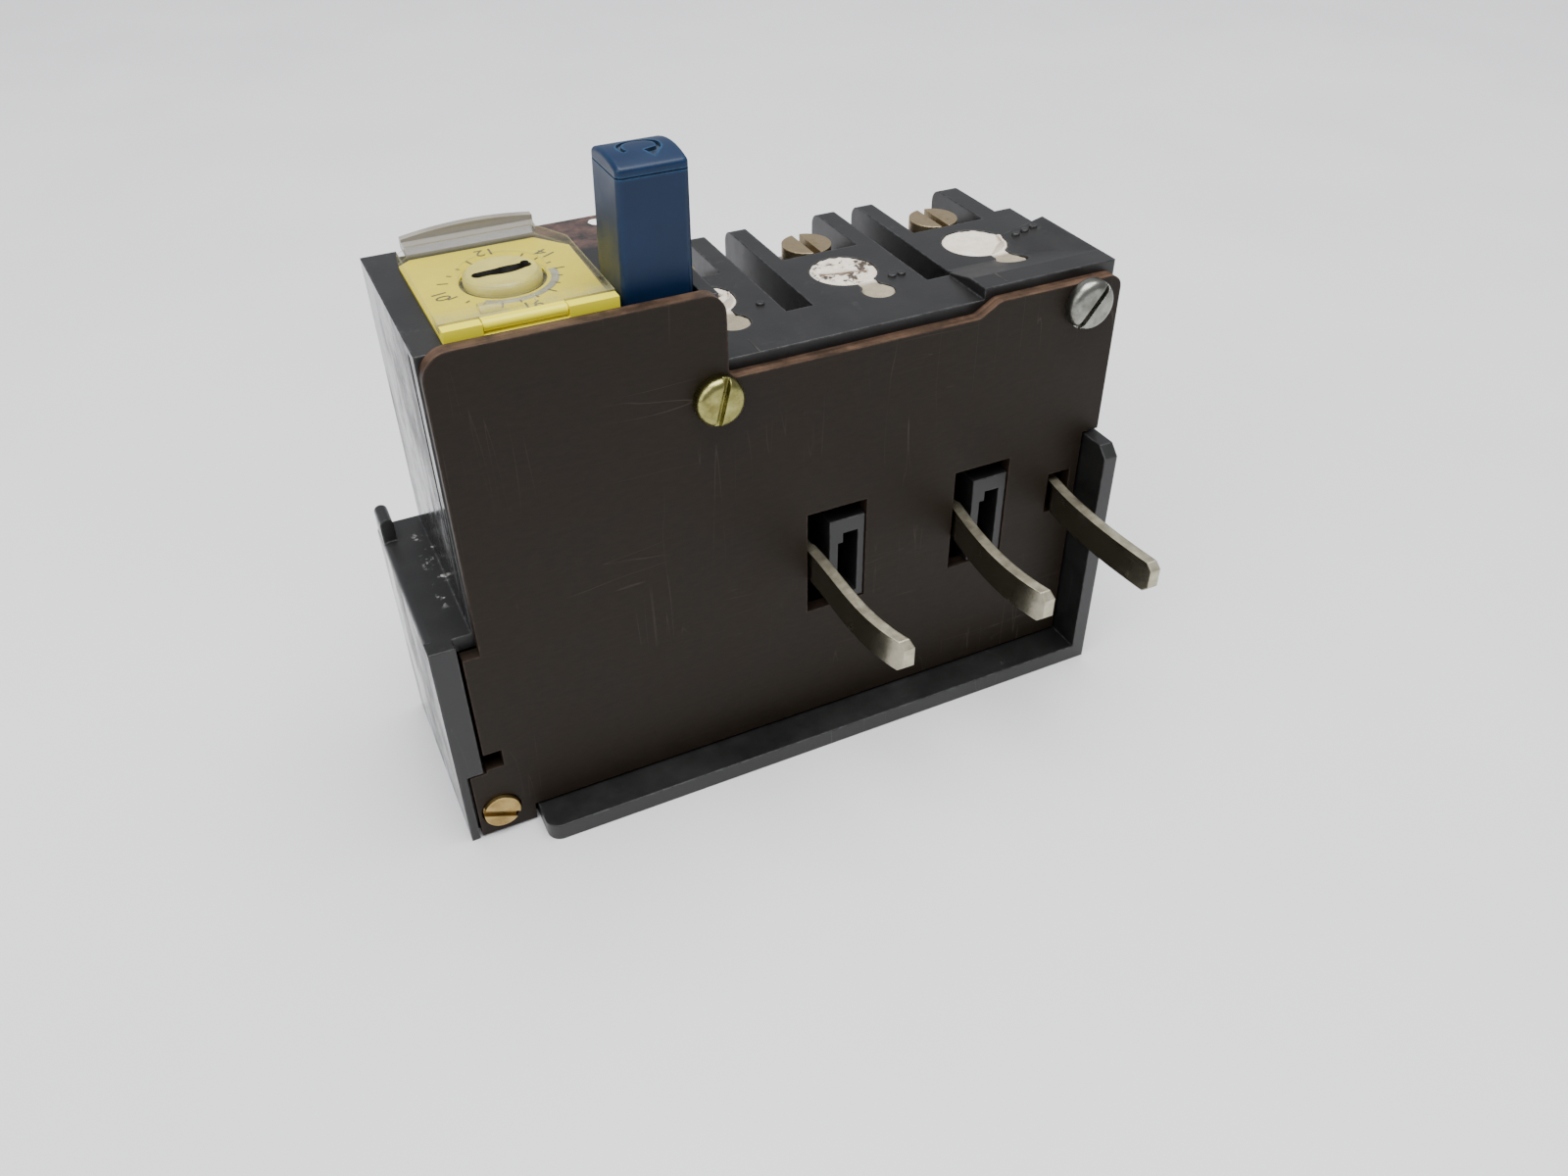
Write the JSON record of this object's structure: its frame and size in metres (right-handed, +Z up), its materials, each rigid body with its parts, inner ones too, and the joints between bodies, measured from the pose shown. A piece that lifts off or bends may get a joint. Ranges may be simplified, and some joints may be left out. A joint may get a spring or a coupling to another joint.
{
  "type": "thermal overload relay",
  "caption": "Plug-on thermal overload relay with contact blades, current dial under a clear hinged cover and a blue reset button.",
  "frame": {"origin": "on the mounting side, in the plane of the insulating plate's outer face, half way along the body without its shelf", "axes": "+X along the width, to the right as seen from the blades; +Y away from the blades; +Z up from the mounting side to the dial"},
  "size_m": [0.0766, 0.0484, 0.0682],
  "materials": {
    "black_moulding": "satin moulded phenolic, scuffed",
    "brown_laminate": "dark brown phenolic laminate, cut edges lighter",
    "yellow_zinc": "yellow chromated steel",
    "zinc": "zinc plated steel",
    "brass": "dull brass",
    "tinned_blade": "tinned brass, tarnished",
    "busbar": "brass strip",
    "plated_steel": "plated steel",
    "resistance_wire": "oxidised resistance wire",
    "copper_lead": "copper braid",
    "bimetal": "bimetal strip",
    "sealing_compound": "cream sealing compound",
    "yellow_card": "yellow printed card",
    "dial_plastic": "yellow plastic",
    "inner_plastic": "light moulded plastic",
    "spring_steel": "spring wire",
    "clear_plastic": "clear moulded plastic, yellowed",
    "blue_plastic": "blue moulded plastic"
  },
  "bodies": {
    "base": {"housing": "black_moulding", "insulating_plate": "brown_laminate", "plate_screw_upper": "yellow_zinc", "plate_screw_right": "zinc", "foot_screw": "brass", "blade_left": "tinned_blade", "blade_middle": "tinned_blade", "blade_right": "tinned_blade", "heater_1": "resistance_wire", "heater_2": "resistance_wire", "heater_3": "resistance_wire", "terminal_bar_1": "busbar", "terminal_bar_2": "busbar", "terminal_bar_3": "busbar", "terminal_screws": "brass", "terminal_clamps": "plated_steel", "calibration_screws": "brass", "flexible_leads": "copper_lead", "seal_1": "sealing_compound", "seal_2": "sealing_compound", "seal_3": "sealing_compound", "scale_card": "yellow_card", "lever_pin": "plated_steel", "rocker_pin": "plated_steel", "reset_spring": "spring_steel", "slider_spring": "spring_steel", "dial_washer": "plated_steel", "fixed_contact_nc": "busbar", "fixed_contact_no": "busbar", "common_contact": "busbar", "auxiliary_screws": "brass", "auxiliary_clamps": "plated_steel"},
    "dial": {"current_dial": "dial_plastic", "adjusting_cam": "inner_plastic"},
    "cover": {"clear_cover": "clear_plastic"},
    "button": {"reset_button": "blue_plastic"},
    "slider": {"trip_slider": "inner_plastic"},
    "lever": {"trip_lever": "inner_plastic", "compensating_bimetal": "bimetal"},
    "rocker": {"contact_rocker": "inner_plastic", "moving_contacts": "busbar"},
    "strip_1": {"bimetal_1": "bimetal"},
    "strip_2": {"bimetal_2": "bimetal"},
    "strip_3": {"bimetal_3": "bimetal"}
  },
  "joints": [
    {"name": "reset_press", "type": "slide", "parent": "base", "child": "button", "axis": [0, 0, -1], "range_m": [0, 0.003], "stiffness_N_per_m": 300, "springref_m": -0.002, "deforming": ["reset_spring"]},
    {"name": "dial_turn", "type": "hinge", "parent": "base", "child": "dial", "pos_m": [-0.0253, 0.0124, 0.056], "axis": [0, 0, 1], "range_deg": [-75, 75]},
    {"name": "cover_hinge", "type": "hinge", "parent": "base", "child": "cover", "pos_m": [-0.026, 0.00275, 0.0567], "axis": [1, 0, 0], "range_deg": [0, 100]},
    {"name": "slider_travel", "type": "slide", "parent": "base", "child": "slider", "axis": [-1, 0, 0], "range_m": [0, 0.0012], "stiffness_N_per_m": 80, "springref_m": -0.001, "deforming": ["slider_spring"]},
    {"name": "lever_turn", "type": "hinge", "parent": "base", "child": "lever", "pos_m": [-0.0206, 0.015, 0.024], "axis": [0, 1, 0], "range_deg": [0, 4.2]},
    {"name": "rocker_turn", "type": "hinge", "parent": "base", "child": "rocker", "pos_m": [-0.029, 0.015, 0.036], "axis": [0, 1, 0], "range_deg": [0, 7.2]},
    {"name": "strip_bend_1", "type": "hinge", "parent": "base", "child": "strip_1", "pos_m": [-0.005, 0.012, 0.038], "axis": [0, 1, 0], "range_deg": [0, 2.4]},
    {"name": "strip_bend_2", "type": "hinge", "parent": "base", "child": "strip_2", "pos_m": [0.0112, 0.012, 0.038], "axis": [0, 1, 0], "range_deg": [0, 2.4]},
    {"name": "strip_bend_3", "type": "hinge", "parent": "base", "child": "strip_3", "pos_m": [0.0274, 0.012, 0.038], "axis": [0, 1, 0], "range_deg": [0, 2.4]}
  ],
  "couplings": [
    {"joint": "lever_turn", "follows": "slider_travel", "rad_per_m": 58.178},
    {"joint": "rocker_turn", "follows": "slider_travel", "rad_per_m": 101.81},
    {"joint": "strip_bend_1", "follows": "slider_travel", "rad_per_m": 31.998},
    {"joint": "strip_bend_2", "follows": "slider_travel", "rad_per_m": 31.998},
    {"joint": "strip_bend_3", "follows": "slider_travel", "rad_per_m": 31.998}
  ]
}
